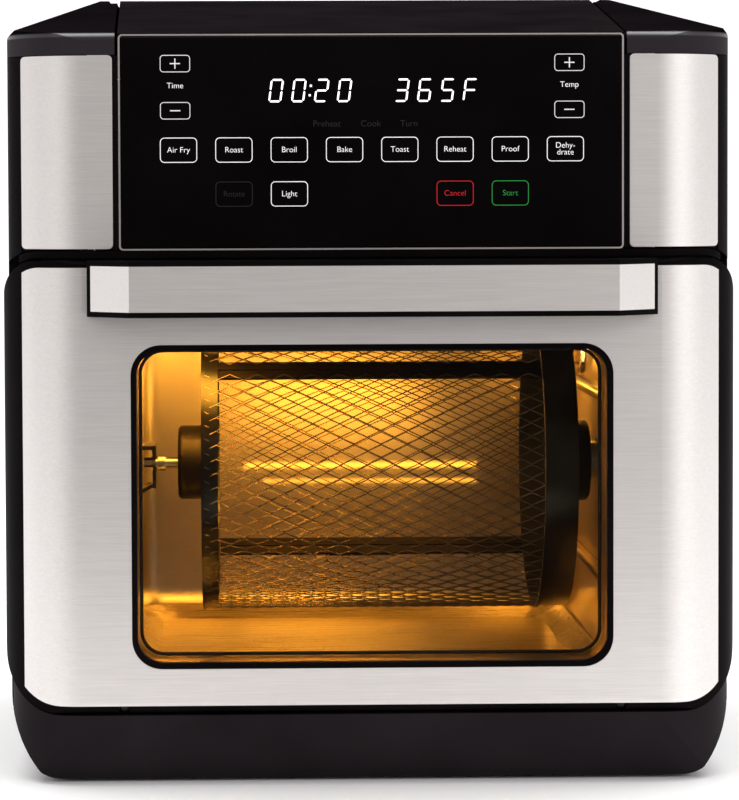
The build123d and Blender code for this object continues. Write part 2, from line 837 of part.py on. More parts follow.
with BuildPart() as rotisserie_motor:
    with BuildSketch(Plane.YZ.offset(125)):
        with Locations((axis_y, axis_z)):
            Circle(26)
    extrude(amount=23)
    with BuildSketch(Plane.YZ.offset(125)):
        with Locations((axis_y, axis_z)):
            SlotOverall(78, 14)
    extrude(amount=1.6)
    with BuildSketch(Plane.YZ.offset(liner_half + liner_sheet)):
        with Locations((axis_y - 33, axis_z), (axis_y + 33, axis_z)):
            Circle(3.5)
    extrude(amount=7)
    with BuildSketch(Plane.YZ.offset(124)):
        with Locations((axis_y, axis_z)):
            Circle(3.56)
    extrude(amount=11, mode=Mode.SUBTRACT)
rotisserie_motor.part.label = "rotisserie_motor"
export_step(rotisserie_motor.part, "parts/rotisserie_motor.step")

cradle_x = -102.6
spindle_radius = 2.5
with BuildPart() as basket_support:
    with BuildSketch(Plane.YZ.offset(-liner_half)):
        with Locations((axis_y, axis_z - 1)):
            RectangleRounded(34, 40, 4)
    extrude(amount=1.5)
    # cradle plate, open towards the door so that the spindle drops in
    with BuildSketch(Plane.YZ.offset(cradle_x)):
        with Locations((axis_y + 1, axis_z - 1.5)):
            Rectangle(22, 21)
        with Locations((axis_y, axis_z)):
            Circle(spindle_radius + 0.5, mode=Mode.SUBTRACT)
        with Locations((axis_y - 8, axis_z)):
            Rectangle(16, 2 * spindle_radius + 1.0, mode=Mode.SUBTRACT)
    extrude(amount=1.6)
    # top flange and slanted strut back to the wall plate
    with BuildSketch(front_plane(axis_y + 12)):
        with BuildLine():
            Polyline((-117, 140.2), (-101, 140.2), (-101, 142.2), (-117, 142.2), (-117, 140.2))
        make_face()
        with BuildLine():
            Polyline((-117, 114), (-101, 122.5), (-101, 124.5), (-117, 116), (-117, 114))
        make_face()
    extrude(amount=22)
basket_support.part.label = "basket_support"
export_step(basket_support.part, "parts/basket_support.step")


# ---------------------------------------------------------------- basket

rim_sheet = 1.2
mesh_sheet = 0.8
bead_height = 0.9             # rolled bead round the inner edge of each end
bead_width = 1.6

with BuildPart() as basket_end_left:
    with BuildSketch(Plane.YZ.offset(drum_left)):
        with Locations((axis_y, axis_z)):
            Circle(drum_radius)
    extrude(amount=mesh_left - drum_left)
    with BuildSketch(Plane.YZ.offset(drum_left + rim_sheet)):
        with Locations((axis_y, axis_z)):
            Circle(drum_radius - rim_sheet)
    extrude(amount=20, mode=Mode.SUBTRACT)
    with BuildSketch(Plane.YZ.offset(drum_left - 1)):
        with Locations((axis_y, axis_z)):
            with PolarLocations(44, 6):
                Circle(9)
    extrude(amount=4, mode=Mode.SUBTRACT)
    # rolled bead round the outer edge
    with BuildSketch(Plane.YZ.offset(drum_left)):
        with Locations((axis_y, axis_z)):
            Circle(drum_radius + bead_height)
            Circle(drum_radius - rim_sheet, mode=Mode.SUBTRACT)
    extrude(amount=bead_width)
basket_end_left.part.label = "basket_end_left"
export_step(basket_end_left.part, "parts/basket_end_left.step")

with BuildPart() as basket_end_right:
    with BuildSketch(Plane.YZ.offset(mesh_right)):
        with Locations((axis_y, axis_z)):
            Circle(drum_radius)
    extrude(amount=drum_right - mesh_right)
    with BuildSketch(Plane.YZ.offset(mesh_right - 1)):
        with Locations((axis_y, axis_z)):
            Circle(drum_radius - rim_sheet)
    extrude(amount=drum_right - mesh_right + 1 - rim_sheet, mode=Mode.SUBTRACT)
    with BuildSketch(Plane.YZ.offset(drum_right - 3)):
        with Locations((axis_y, axis_z)):
            with PolarLocations(44, 6):
                Circle(9)
    extrude(amount=6, mode=Mode.SUBTRACT)
    # rolled bead round the edge that meets the mesh
    with BuildSketch(Plane.YZ.offset(mesh_right)):
        with Locations((axis_y, axis_z)):
            Circle(drum_radius + bead_height)
            Circle(drum_radius - rim_sheet, mode=Mode.SUBTRACT)
    extrude(amount=bead_width)
basket_end_right.part.label = "basket_end_right"
export_step(basket_end_right.part, "parts/basket_end_right.step")


def half_drum(facing):
    """Half of the drum's mesh wall, on one side of the tilted split plane."""
    with BuildPart() as half:
        with BuildSketch(Plane.YZ.offset(mesh_left + 0.2)):
            with Locations((axis_y, axis_z)):
                Circle(drum_radius - 0.4)
                Circle(drum_radius - 0.4 - mesh_sheet, mode=Mode.SUBTRACT)
                with Locations(Location((0, 0), 180 - split_angle)):
                    with Locations((0, facing * 100)):
                        Rectangle(200, 200, mode=Mode.INTERSECT)
        extrude(amount=mesh_right - mesh_left - 0.4)
    return half.part


with BuildPart() as split_gap:
    with BuildSketch(Plane.YZ.offset(-100)):
        with Locations((axis_y, axis_z)):
            with Locations(Location((0, 0), 180 - split_angle)):
                Rectangle(200, 10)
    extrude(amount=210)

lower_half = half_drum(1)
upper_half = half_drum(-1)

with BuildPart() as basket_mesh_fixed:
    add(lower_half)
    add(split_gap.part, mode=Mode.SUBTRACT)
basket_mesh_fixed.part.label = "basket_mesh_fixed"
export_step(basket_mesh_fixed.part, "parts/basket_mesh_fixed.step")

with BuildPart() as basket_mesh_hatch:
    add(upper_half)
    add(split_gap.part, mode=Mode.SUBTRACT)
basket_mesh_hatch.part.label = "basket_mesh_hatch"
export_step(basket_mesh_hatch.part, "parts/basket_mesh_hatch.step")

# edge strips of the two half shells, side by side along both split lines
with BuildPart() as basket_rims:
    with BuildSketch(Plane.YZ.offset(mesh_left + 0.2)):
        with Locations((axis_y, axis_z)):
            with Locations(Location((0, 0), 180 - split_angle)):
                with Locations((-drum_radius + 1.6, 2.6), (-drum_radius + 1.6, -2.6),
                               (drum_radius - 1.6, 2.6), (drum_radius - 1.6, -2.6)):
                    Rectangle(1.6, 4.6)
    extrude(amount=mesh_right - mesh_left - 0.4)
basket_rims.part.label = "basket_rims"
export_step(basket_rims.part, "parts/basket_rims.step")

with BuildPart() as basket_hubs:
    with BuildSketch(Plane.YZ.offset(drum_left - hub_length)):
        with Locations((axis_y, axis_z)):
            Circle(hub_radius)
    extrude(amount=hub_length)
    with BuildSketch(Plane.YZ.offset(drum_right)):
        with Locations((axis_y, axis_z)):
            Circle(drive_hub_radius)
    extrude(amount=hub_length)
    fillet(basket_hubs.edges().group_by(Axis.X)[0], 2.5)
    fillet(basket_hubs.edges().group_by(Axis.X)[-1], 2.5)
basket_hubs.part.label = "basket_hubs"
export_step(basket_hubs.part, "parts/basket_hubs.step")

with BuildPart() as basket_spindles:
    with BuildSketch(Plane.YZ.offset(-107)):
        with Locations((axis_y, axis_z)):
            Circle(spindle_radius)
    extrude(amount=17)
    with BuildSketch(Plane.YZ.offset(-99.8)):
        with Locations((axis_y, axis_z)):
            Circle(4.2)
    extrude(amount=3.4)
    with BuildSketch(Plane.YZ.offset(drum_right + hub_length)):
        with Locations((axis_y, axis_z)):
            Rectangle(7.6, 7.6)
    extrude(amount=7.6)
basket_spindles.part.label = "basket_spindles"
export_step(basket_spindles.part, "parts/basket_spindles.step")

# slide catch that locks the hatch, on the lower split line
with BuildPart() as basket_latch:
    with BuildSketch(Plane.YZ.offset(-14)):
        with Locations((axis_y, axis_z)):
            with Locations(Location((0, 0), 180 - split_angle)):
                with Locations((-drum_radius - 0.4, 0)):
                    RectangleRounded(1.4, 9, 0.5)
    extrude(amount=34)
basket_latch.part.label = "basket_latch"
export_step(basket_latch.part, "parts/basket_latch.step")


# ---------------------------------------------------------------- door

tunnel_width = window_width - 2 * window_lip
tunnel_height = window_height - 2 * window_lip
tunnel_radius = window_radius - window_lip + 0.6

skin_zone = slab(-cladding_outer, cladding_outer, -far, -100, 30, 300)
skin_zone_clear = slab(-cladding_outer - 0.15, cladding_outer + 0.15, -far, -100, 30, 300)
window_hole = rounded_prism(window_width, window_height, window_radius, window_z, -160, -100)

with BuildPart() as door_outer_skin:
    add(door_outer)
    add(door_behind_skin, mode=Mode.SUBTRACT)
    add(skin_outline, mode=Mode.INTERSECT)
    add(skin_zone, mode=Mode.INTERSECT)
    add(window_hole, mode=Mode.SUBTRACT)
door_outer_skin.part.label = "door_outer_skin"
export_step(door_outer_skin.part, "parts/door_outer_skin.step")

with BuildPart() as skin_room:
    add(door_outer)
    add(door_behind_skin, mode=Mode.SUBTRACT)
    add(door_prism(-3.5, -112, 60), mode=Mode.INTERSECT)
    add(skin_zone_clear, mode=Mode.INTERSECT)

with BuildPart() as door_frame:
    add(door_outer)
    add(door_hollow, mode=Mode.SUBTRACT)
    # hinge bosses in the bottom edge
    for side in (-1, 1):
        with BuildSketch(Plane.YZ.offset(side * hinge_x - 14)):
            with Locations((hinge_y, hinge_z)):
                Circle(4.9)
        extrude(amount=28)
    add(skin_room.part, mode=Mode.SUBTRACT)
    add(window_hole, mode=Mode.SUBTRACT)
    # slots that let the bracket arms swing through the bottom edge
    for side in (-1, 1):
        with BuildSketch(Plane.YZ.offset(side * hinge_x - 2.2)):
            with Locations((hinge_y, hinge_z)):
                Circle(5.4)
            with Locations((-134.5, 33.4)):
                Rectangle(17, 6.4)
        extrude(amount=4.4, mode=Mode.SUBTRACT)
    for side in (-1, 1):
        with BuildSketch(Plane.YZ.offset(side * hinge_x - 13)):
            with Locations((hinge_y, hinge_z)):
                Circle(hinge_pin_radius + 0.02)
        extrude(amount=26, mode=Mode.SUBTRACT)
door_frame.part.label = "door_frame"
export_step(door_frame.part, "parts/door_frame.step")

with BuildPart() as window_gasket:
    with BuildSketch(front_plane(-139)):
        with Locations((0, window_z)):
            RectangleRounded(window_width - 0.2, window_height - 0.2, window_radius - 0.1)
            RectangleRounded(tunnel_width, tunnel_height, tunnel_radius, mode=Mode.SUBTRACT)
    extrude(amount=2.7)
window_gasket.part.label = "window_gasket"
export_step(window_gasket.part, "parts/window_gasket.step")

with BuildPart() as outer_glass:
    with BuildSketch(front_plane(-135.9)):
        with Locations((0, window_z)):
            RectangleRounded(window_width + 10, window_height + 10, window_radius)
    extrude(amount=3.0)
outer_glass.part.label = "outer_glass"
export_step(outer_glass.part, "parts/outer_glass.step")

with BuildPart() as inner_glass:
    with BuildSketch(front_plane(-115)):
        with Locations((0, window_z)):
            RectangleRounded(tunnel_width - 0.4, tunnel_height - 0.4, tunnel_radius - 0.2)
    extrude(amount=3.0)
inner_glass.part.label = "inner_glass"
export_step(inner_glass.part, "parts/inner_glass.step")

inner_plate = door_prism(-6.5, door_back, 1.0)
tunnel_outer = rounded_prism(tunnel_width + 1.6, tunnel_height + 1.6, tunnel_radius + 0.8,
                             window_z, -135.8, door_back)
tunnel_inner = rounded_prism(tunnel_width, tunnel_height, tunnel_radius, window_z, -140, -100)
glass_flange = rounded_prism(window_width + 10, window_height + 10, window_radius,
                             window_z, -135.8, -134.8)
with BuildPart() as door_inner_panel:
    add(inner_plate)
    add(tunnel_outer)
    add(glass_flange)
    add(tunnel_inner, mode=Mode.SUBTRACT)
    # peg that presses the interlock switch
    with BuildSketch(front_plane(door_back)):
        with Locations((switch_x, switch_z)):
            Circle(3)
    extrude(amount=-2.9)
door_inner_panel.part.label = "door_inner_panel"
export_step(door_inner_panel.part, "parts/door_inner_panel.step")

with BuildPart() as hinge_pins:
    for side in (-1, 1):
        with BuildSketch(Plane.YZ.offset(side * hinge_x - 12)):
            with Locations((hinge_y, hinge_z)):
                Circle(hinge_pin_radius)
        extrude(amount=24)
hinge_pins.part.label = "hinge_pins"
export_step(hinge_pins.part, "parts/hinge_pins.step")

bracket_seat = 16.2           # height of the bracket's foot on its boss

with BuildPart() as hinge_brackets:
    for side in (-1, 1):
        with BuildSketch(Plane.YZ.offset(side * hinge_x - 1.5)):
            with Locations((hinge_y, hinge_z)):
                Circle(4.0)
            with BuildLine():
                Polyline((hinge_y + 2.0, hinge_z - 3.4), (hinge_y + 2.6, hinge_z + 1.2),
                         (-118, 22), (-108, 22), (-108, bracket_seat), (-120.5, bracket_seat),
                         (hinge_y + 2.0, hinge_z - 3.4))
            make_face()
            with Locations((hinge_y, hinge_z)):
                Circle(hinge_pin_radius + 0.06, mode=Mode.SUBTRACT)
        extrude(amount=3)
        with BuildSketch(Plane.XY.offset(bracket_seat)):
            with Locations((side * hinge_x, -115)):
                Rectangle(12, 14)
        extrude(amount=2)
hinge_brackets.part.label = "hinge_brackets"
export_step(hinge_brackets.part, "parts/hinge_brackets.step")

# ---------------------------------------------------------------- handle

handle_front = -half_depth
handle_half = 127.3
handle_low = 211.8
handle_high = 236.8
flat_half = 108.0
handle_edge = 2.4
finger_gap_front = -157.5


def handle_plan(inset, z_low, height):
    """The handle's outer plan, a shallow bridge with slanted ends."""
    with BuildPart() as plan:
        with BuildSketch(Plane.XY.offset(z_low)):
            with BuildLine():
                Line((0, handle_front), (flat_half, handle_front))
                Line((flat_half, handle_front), (handle_half, -150))
                Line((handle_half, -150), (handle_half, door_face))
                Line((handle_half, door_face), (0, door_face))
                mirror(about=Plane.YZ)
            make_face()
            if inset:
                offset(amount=-inset)
        extrude(amount=height)
    return plan.part


handle_block = handle_plan(0, handle_low, handle_high - handle_low)
skin_band_height = handle_high - handle_low - 2 * handle_edge
handle_band = handle_plan(0, handle_low + handle_edge, skin_band_height)
handle_under = handle_plan(steel, handle_low, handle_high - handle_low)
skin_half = handle_half - 1.7      # the black core shows beyond each end of the skin
band_front = slab(-skin_half, skin_half, -far, -144, 100, 300)

with BuildPart() as handle_skin:
    add(handle_band)
    add(handle_under, mode=Mode.SUBTRACT)
    add(band_front, mode=Mode.INTERSECT)
handle_skin.part.label = "handle_skin"
export_step(handle_skin.part, "parts/handle_skin.step")

with BuildPart() as handle_core:
    add(handle_block)
    with BuildSketch(Plane.XY.offset(handle_low - 1)):
        with BuildLine():
            Polyline((0, door_face + 1), (-112, door_face + 1), (-112, -146),
                     (-103, finger_gap_front), (0, finger_gap_front))
            Polyline((0, door_face + 1), (112, door_face + 1), (112, -146),
                     (103, finger_gap_front), (0, finger_gap_front))
        make_face()
    extrude(amount=handle_high - handle_low + 2, mode=Mode.SUBTRACT)
    add(handle_skin.part, mode=Mode.SUBTRACT)
handle_core.part.label = "handle_core"
export_step(handle_core.part, "parts/handle_core.step")

# ---------------------------------------------------------------- interlock switch

with BuildPart() as interlock_switch:
    with BuildSketch(front_plane(-90)):
        with Locations((switch_x, switch_z)):
            Rectangle(12, 16)
    extrude(amount=18)
    with BuildSketch(front_plane(-92)):
        with Locations((switch_x, switch_z)):
            Circle(2.06)
    extrude(amount=20, mode=Mode.SUBTRACT)
interlock_switch.part.label = "interlock_switch"
export_step(interlock_switch.part, "parts/interlock_switch.step")

with BuildPart() as switch_plunger:
    with BuildSketch(front_plane(-96)):
        with Locations((switch_x, switch_z)):
            Circle(2.0)
    extrude(amount=14.2)
switch_plunger.part.label = "switch_plunger"
export_step(switch_plunger.part, "parts/switch_plunger.step")
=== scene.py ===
import json
import math

import bmesh
import bpy
from mathutils import Matrix, Vector


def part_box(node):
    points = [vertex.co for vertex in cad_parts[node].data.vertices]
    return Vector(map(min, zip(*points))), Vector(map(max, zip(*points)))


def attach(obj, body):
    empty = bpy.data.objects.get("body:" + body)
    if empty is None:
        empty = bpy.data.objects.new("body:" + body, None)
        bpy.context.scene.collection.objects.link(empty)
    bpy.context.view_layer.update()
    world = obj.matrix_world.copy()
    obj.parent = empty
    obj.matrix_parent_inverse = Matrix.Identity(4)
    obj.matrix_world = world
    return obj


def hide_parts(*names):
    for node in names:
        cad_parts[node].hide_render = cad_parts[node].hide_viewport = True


# A countertop rotisserie oven in its frame: metres, +Z up, the door faces -Y.

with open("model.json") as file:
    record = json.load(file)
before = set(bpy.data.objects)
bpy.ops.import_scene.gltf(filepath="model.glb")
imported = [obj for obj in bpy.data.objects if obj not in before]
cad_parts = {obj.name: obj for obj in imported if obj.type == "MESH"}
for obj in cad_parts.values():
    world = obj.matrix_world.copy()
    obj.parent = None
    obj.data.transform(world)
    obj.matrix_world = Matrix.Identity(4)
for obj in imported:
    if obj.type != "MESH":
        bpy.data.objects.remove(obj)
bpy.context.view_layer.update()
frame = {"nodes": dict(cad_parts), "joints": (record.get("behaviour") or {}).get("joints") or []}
nodes = frame["nodes"]
mm = 0.001

joint_at = {j["name"]: j.get("pos_m") for j in frame["joints"]}
axis_y, axis_z = joint_at["basket_spin"][1], joint_at["basket_spin"][2]


# ---------------------------------------------------------------- camera

FRAME_W, FRAME_H = 739, 800
EYE = Vector((-0.060, -1.542, 0.266))     # the lens, 1.4 m in front of the door
FRONT_SCALE = 2235.0                      # pixels per metre at the door's face
EYE_TO_DOOR = 1.4
YAW, PITCH, ROLL = -1.1, 2.4, -0.24       # degrees: right, down, clockwise
SHIFT_X, SHIFT_Y = 0.089, -0.0935         # the lens slid sideways and down, in picture heights


def make_camera():
    data = bpy.data.cameras.new("camera")
    cam = bpy.data.objects.new("camera", data)
    bpy.context.scene.collection.objects.link(cam)
    bpy.context.scene.camera = cam
    focal = FRONT_SCALE * EYE_TO_DOOR
    data.lens = focal / FRAME_H * data.sensor_width
    data.shift_x = SHIFT_X
    data.shift_y = SHIFT_Y
    data.clip_start, data.clip_end = 0.05, 20
    cam.location = EYE
    turn = Matrix.Rotation(math.radians(YAW), 3, "Z")
    tilt = Matrix.Rotation(math.radians(90 - PITCH), 3, "X")
    roll = Matrix.Rotation(math.radians(ROLL), 3, "Z")
    cam.rotation_euler = (turn @ tilt @ roll).to_euler()


make_camera()


# ---------------------------------------------------------------- shader helpers

def srgb(r, g, b):
    """Linear colour of an sRGB colour given in 0..255."""
    def channel(c):
        c = c / 255
        return c / 12.92 if c <= 0.04045 else ((c + 0.055) / 1.055) ** 2.4

    return (channel(r), channel(g), channel(b), 1.0)


class Shader:
    """A material's node tree with short names for the few nodes used here."""

    def __init__(self, name, roughness=0.5, metallic=0.0, **sockets):
        self.material = bpy.data.materials.new(name)
        self.material.use_nodes = True
        self.tree = self.material.node_tree
        self.bsdf = self.tree.nodes["Principled BSDF"]
        self.set("Roughness", roughness)
        self.set("Metallic", metallic)
        for key, value in sockets.items():
            self.set(key.replace("_", " "), value)
        self.coords = self.tree.nodes.new("ShaderNodeTexCoord").outputs["Object"]

    def set(self, socket, value):
        self.bsdf.inputs[socket].default_value = value

    def link(self, output, socket):
        self.tree.links.new(output, self.bsdf.inputs[socket])

    def mapped(self, scale):
        mapping = self.tree.nodes.new("ShaderNodeMapping")
        mapping.inputs["Scale"].default_value = scale
        self.tree.links.new(self.coords, mapping.inputs["Vector"])
        return mapping.outputs["Vector"]

    def noise(self, scale, detail=4.0, stretch=(1, 1, 1), rough=0.5):
        node = self.tree.nodes.new("ShaderNodeTexNoise")
        node.inputs["Scale"].default_value = scale
        node.inputs["Detail"].default_value = detail
        node.inputs["Roughness"].default_value = rough
        self.tree.links.new(self.mapped(stretch), node.inputs["Vector"])
        return node.outputs["Fac"]

    def voronoi(self, scale, stretch=(1, 1, 1)):
        node = self.tree.nodes.new("ShaderNodeTexVoronoi")
        node.inputs["Scale"].default_value = scale
        self.tree.links.new(self.mapped(stretch), node.inputs["Vector"])
        return node.outputs["Distance"]

    def ramp(self, factor, stops):
        node = self.tree.nodes.new("ShaderNodeValToRGB")
        elements = node.color_ramp.elements
        while len(elements) < len(stops):
            elements.new(0.5)
        for element, (position, colour) in zip(elements, stops):
            element.position = position
            element.color = colour if hasattr(colour, "__len__") else (colour, colour, colour, 1)
        self.tree.links.new(factor, node.inputs["Fac"])
        return node.outputs["Color"]

    def span(self, factor, low, high):
        node = self.tree.nodes.new("ShaderNodeMapRange")
        node.inputs["To Min"].default_value = low
        node.inputs["To Max"].default_value = high
        self.tree.links.new(factor, node.inputs["Value"])
        return node.outputs["Result"]

    def mix(self, factor, a, b):
        node = self.tree.nodes.new("ShaderNodeMix")
        node.data_type = "RGBA"
        self.tree.links.new(factor, node.inputs["Factor"])
        for socket, value in ((node.inputs[6], a), (node.inputs[7], b)):
            if hasattr(value, "node"):
                self.tree.links.new(value, socket)
            else:
                socket.default_value = value
        return node.outputs[2]

    def add(self, a, b, scale_b=1.0):
        node = self.tree.nodes.new("ShaderNodeMath")
        node.operation = "MULTIPLY_ADD"
        self.tree.links.new(b, node.inputs[0])
        node.inputs[1].default_value = scale_b
        self.tree.links.new(a, node.inputs[2])
        return node.outputs[0]

    def bump(self, height, distance, strength=1.0):
        node = self.tree.nodes.new("ShaderNodeBump")
        node.inputs["Distance"].default_value = distance
        node.inputs["Strength"].default_value = strength
        self.tree.links.new(height, node.inputs["Height"])
        self.link(node.outputs["Normal"], "Normal")


def moulded_plastic(name, dark, light, roughness, gloss=0.03, grain=2600.0, depth=0.00002):
    """Moulded plastic: a fine spark-eroded grain, cloudy gloss and slightly uneven colour."""
    s = Shader(name, Specular_IOR_Level=gloss)
    cloud = s.noise(22, 5)
    fine = s.noise(grain, 2)
    s.link(s.ramp(cloud, [(0.3, dark), (0.7, light)]), "Base Color")
    s.link(s.span(s.add(cloud, fine, 0.6), roughness[0], roughness[1]), "Roughness")
    s.bump(fine, depth, 0.5)
    return s.material


def brushed_steel(name, dark, light, roughness, stretch, lines=2200.0):
    """Steel brushed along one axis: long fine lines in its colour, gloss and height."""
    s = Shader(name, metallic=1.0)
    fine = s.noise(lines, 2, stretch, 0.6)
    broad = s.noise(lines * 0.4, 3, stretch, 0.6)
    patch = s.noise(9, 3)
    both = s.add(s.span(fine, 0.0, 0.6), broad, 0.4)
    tone = s.add(both, patch, 0.1)
    s.link(s.ramp(tone, [(0.3, dark), (0.78, light)]), "Base Color")
    s.link(s.span(both, roughness[0], roughness[1]), "Roughness")
    s.bump(both, 0.000004, 0.25)
    return s.material


def sheet_metal(name, dark, light, roughness, grain=900.0):
    """Bare rolled sheet: mottled grain, a little cloudiness and faint rolling marks."""
    s = Shader(name, metallic=1.0)
    mottle = s.noise(grain, 3)
    cloud = s.noise(14, 4)
    rolled = s.noise(60, 2, (0.3, 1, 6))
    tone = s.add(s.add(s.span(mottle, 0.0, 0.6), cloud, 0.3), rolled, 0.12)
    s.link(s.ramp(tone, [(0.3, dark), (0.72, light)]), "Base Color")
    s.link(s.span(mottle, roughness[0], roughness[1]), "Roughness")
    s.bump(mottle, 0.00003, 0.5)
    return s.material


def paint_coat(name, dark, light, roughness):
    """Powder coat: orange peel and a fine speckle."""
    s = Shader(name)
    peel = s.voronoi(900)
    cloud = s.noise(30, 3)
    s.link(s.ramp(cloud, [(0.3, dark), (0.7, light)]), "Base Color")
    s.link(s.span(peel, roughness[0], roughness[1]), "Roughness")
    s.bump(peel, 0.00004, 0.5)
    return s.material


def soft_rubber(name, dark, light):
    s = Shader(name, Specular_IOR_Level=0.3)
    dust = s.noise(260, 4)
    s.link(s.ramp(dust, [(0.35, dark), (0.75, light)]), "Base Color")
    s.link(s.span(dust, 0.62, 0.8), "Roughness")
    s.bump(s.noise(1800, 2), 0.00003, 0.5)
    return s.material


def clear_glass(name, tint, roughness=(0.0, 0.02), top=(1, 1, 1, 1)):
    s = Shader(name, Transmission_Weight=1.0, IOR=1.12)
    smear = s.noise(16, 4)
    s.link(s.ramp(smear, [(0.3, tint), (0.7, top)]), "Base Color")
    s.link(s.span(smear, *roughness), "Roughness")
    return s.material


def heated_steel(name, dark, light, roughness):
    """Steel that has been hot many times: brown temper patches over a dull metal."""
    s = Shader(name, metallic=0.85)
    patch = s.noise(45, 5)
    speck = s.noise(1200, 2)
    s.link(s.ramp(s.add(patch, speck, 0.15), [(0.35, dark), (0.75, light)]), "Base Color")
    s.link(s.span(patch, roughness[0], roughness[1]), "Roughness")
    s.bump(speck, 0.00002, 0.4)
    return s.material


def glowing(name, colour, strength, spread=0.12):
    """A lit or printed mark on the glass, with slightly uneven brightness."""
    s = Shader(name, roughness=0.4)
    uneven = s.noise(300, 2)
    low = tuple(c * (1 - spread) for c in colour[:3]) + (1,)
    tone = s.ramp(uneven, [(0.3, low), (0.7, colour)])
    s.link(tone, "Base Color")
    s.link(tone, "Emission Color")
    s.set("Emission Strength", strength)
    return s.material


ALONG_X = (0.02, 1, 1)        # noise stretched fifty times along X
black_shell = moulded_plastic("black_shell", srgb(13, 9, 12), srgb(21, 17, 20), (0.34, 0.48), 0.006)
base_black = moulded_plastic("base_black", srgb(28, 24, 27), srgb(36, 32, 35), (0.38, 0.5))
black_trim = moulded_plastic("black_trim", srgb(10, 8, 9), srgb(18, 14, 16), (0.30, 0.42), 0.010)
roof_black = moulded_plastic("roof_black", srgb(16, 13, 15), srgb(24, 20, 22), (0.6, 0.75), 0.0)
inner_plastic = moulded_plastic("inner_plastic", srgb(24, 23, 24), srgb(36, 34, 36), (0.5, 0.62),
                                0.2, 1400)
white_plastic = moulded_plastic("white_plastic", srgb(196, 190, 178), srgb(216, 210, 198), (0.42, 0.56),
                                0.5)
steel_front = brushed_steel("steel_front", srgb(222, 218, 216), srgb(238, 234, 232), (0.44, 0.52), ALONG_X)
steel_edge = brushed_steel("steel_edge", srgb(206, 199, 196), srgb(232, 226, 223), (0.3, 0.4), ALONG_X)
liner_metal = sheet_metal("liner_metal", srgb(188, 172, 150), srgb(222, 208, 186), (0.22, 0.40), 1500)
tray_metal = brushed_steel("tray_metal", srgb(186, 174, 154), srgb(224, 214, 194), (0.22, 0.34),
                           ALONG_X, 900)
plated_steel = sheet_metal("plated_steel", srgb(140, 140, 140), srgb(190, 190, 188), (0.28, 0.45))
drum_steel = heated_steel("drum_steel", srgb(44, 43, 38), srgb(72, 68, 58), (0.24, 0.38))
hub_steel = heated_steel("hub_steel", srgb(26, 22, 20), srgb(54, 46, 38), (0.4, 0.55))
rim_steel = heated_steel("rim_steel", srgb(22, 17, 13), srgb(40, 31, 24), (0.45, 0.6))
wire_steel = heated_steel("wire_steel", srgb(96, 82, 60), srgb(160, 140, 108), (0.18, 0.30))
element_skin = heated_steel("element_skin", srgb(38, 34, 32), srgb(72, 62, 56), (0.5, 0.7))
powder_black = paint_coat("powder_black", srgb(20, 19, 20), srgb(30, 28, 29), (0.5, 0.66))
motor_paint = paint_coat("motor_paint", srgb(120, 122, 126), srgb(150, 152, 155), (0.35, 0.5))
fan_metal = sheet_metal("fan_metal", srgb(180, 180, 180), srgb(214, 214, 212), (0.26, 0.4), 600)
rubber = soft_rubber("rubber", srgb(20, 20, 21), srgb(34, 33, 34))
window_glass = clear_glass("window_glass", (0.72, 0.72, 0.70, 1), top=(0.78, 0.78, 0.76, 1))
lamp_glass = clear_glass("lamp_glass", (1.0, 0.93, 0.82, 1), (0.04, 0.12))
board_green = paint_coat("board_green", srgb(20, 84, 48), srgb(34, 110, 64), (0.3, 0.45))


CAP_EDGE_LOW, CAP_EDGE_HIGH = 335.0 * mm, 339.0 * mm     # the height of the caps' rounded edge


def cap_black():
    """The corner caps: a polished rounded edge, with painted light and shade split at its height: the front
    band painted mid-grey as if lit from the front, the sloping top painted near black as if in shade.
    """
    s = Shader("cap_black")
    split = s.tree.nodes.new("ShaderNodeSeparateXYZ")
    s.tree.links.new(s.coords, split.inputs[0])
    height = s.tree.nodes.new("ShaderNodeMapRange")
    height.inputs["From Min"].default_value = CAP_EDGE_LOW
    height.inputs["From Max"].default_value = CAP_EDGE_HIGH
    s.tree.links.new(split.outputs["Z"], height.inputs["Value"])
    level = height.outputs["Result"]
    cloud = s.noise(22, 5)
    # painted light and shade on one plastic: the front band gets a mid-grey painted light, the sloping top a
    # near-black painted shade, switched by height
    band_painted_light = s.ramp(cloud, [(0.3, srgb(44, 39, 43)), (0.7, srgb(54, 49, 53))])
    top = s.ramp(cloud, [(0.3, srgb(9, 7, 9)), (0.7, srgb(15, 12, 14))])
    s.link(s.mix(s.ramp(level, [(0.55, 0.0), (0.9, 1.0)]), band_painted_light, top), "Base Color")
    polish = s.ramp(level, [(0.3, 0.02), (0.45, 0.55), (0.7, 0.55), (0.85, 0.0)])
    s.link(polish, "Specular IOR Level")
    s.link(s.span(polish, 0.55, 0.1), "Roughness")
    s.bump(s.noise(2600, 2), 0.00002, 0.3)
    return s.material


def panel_black():
    """Back-painted glass: near black under a polished surface."""
    s = Shader("panel_black", Specular_IOR_Level=0.06)
    haze = s.noise(26, 4)
    s.link(s.ramp(haze, [(0.3, srgb(5, 3, 4)), (0.7, srgb(9, 7, 8))]), "Base Color")
    s.link(s.span(haze, 0.05, 0.10), "Roughness")
    return s.material


panel_glass = panel_black()

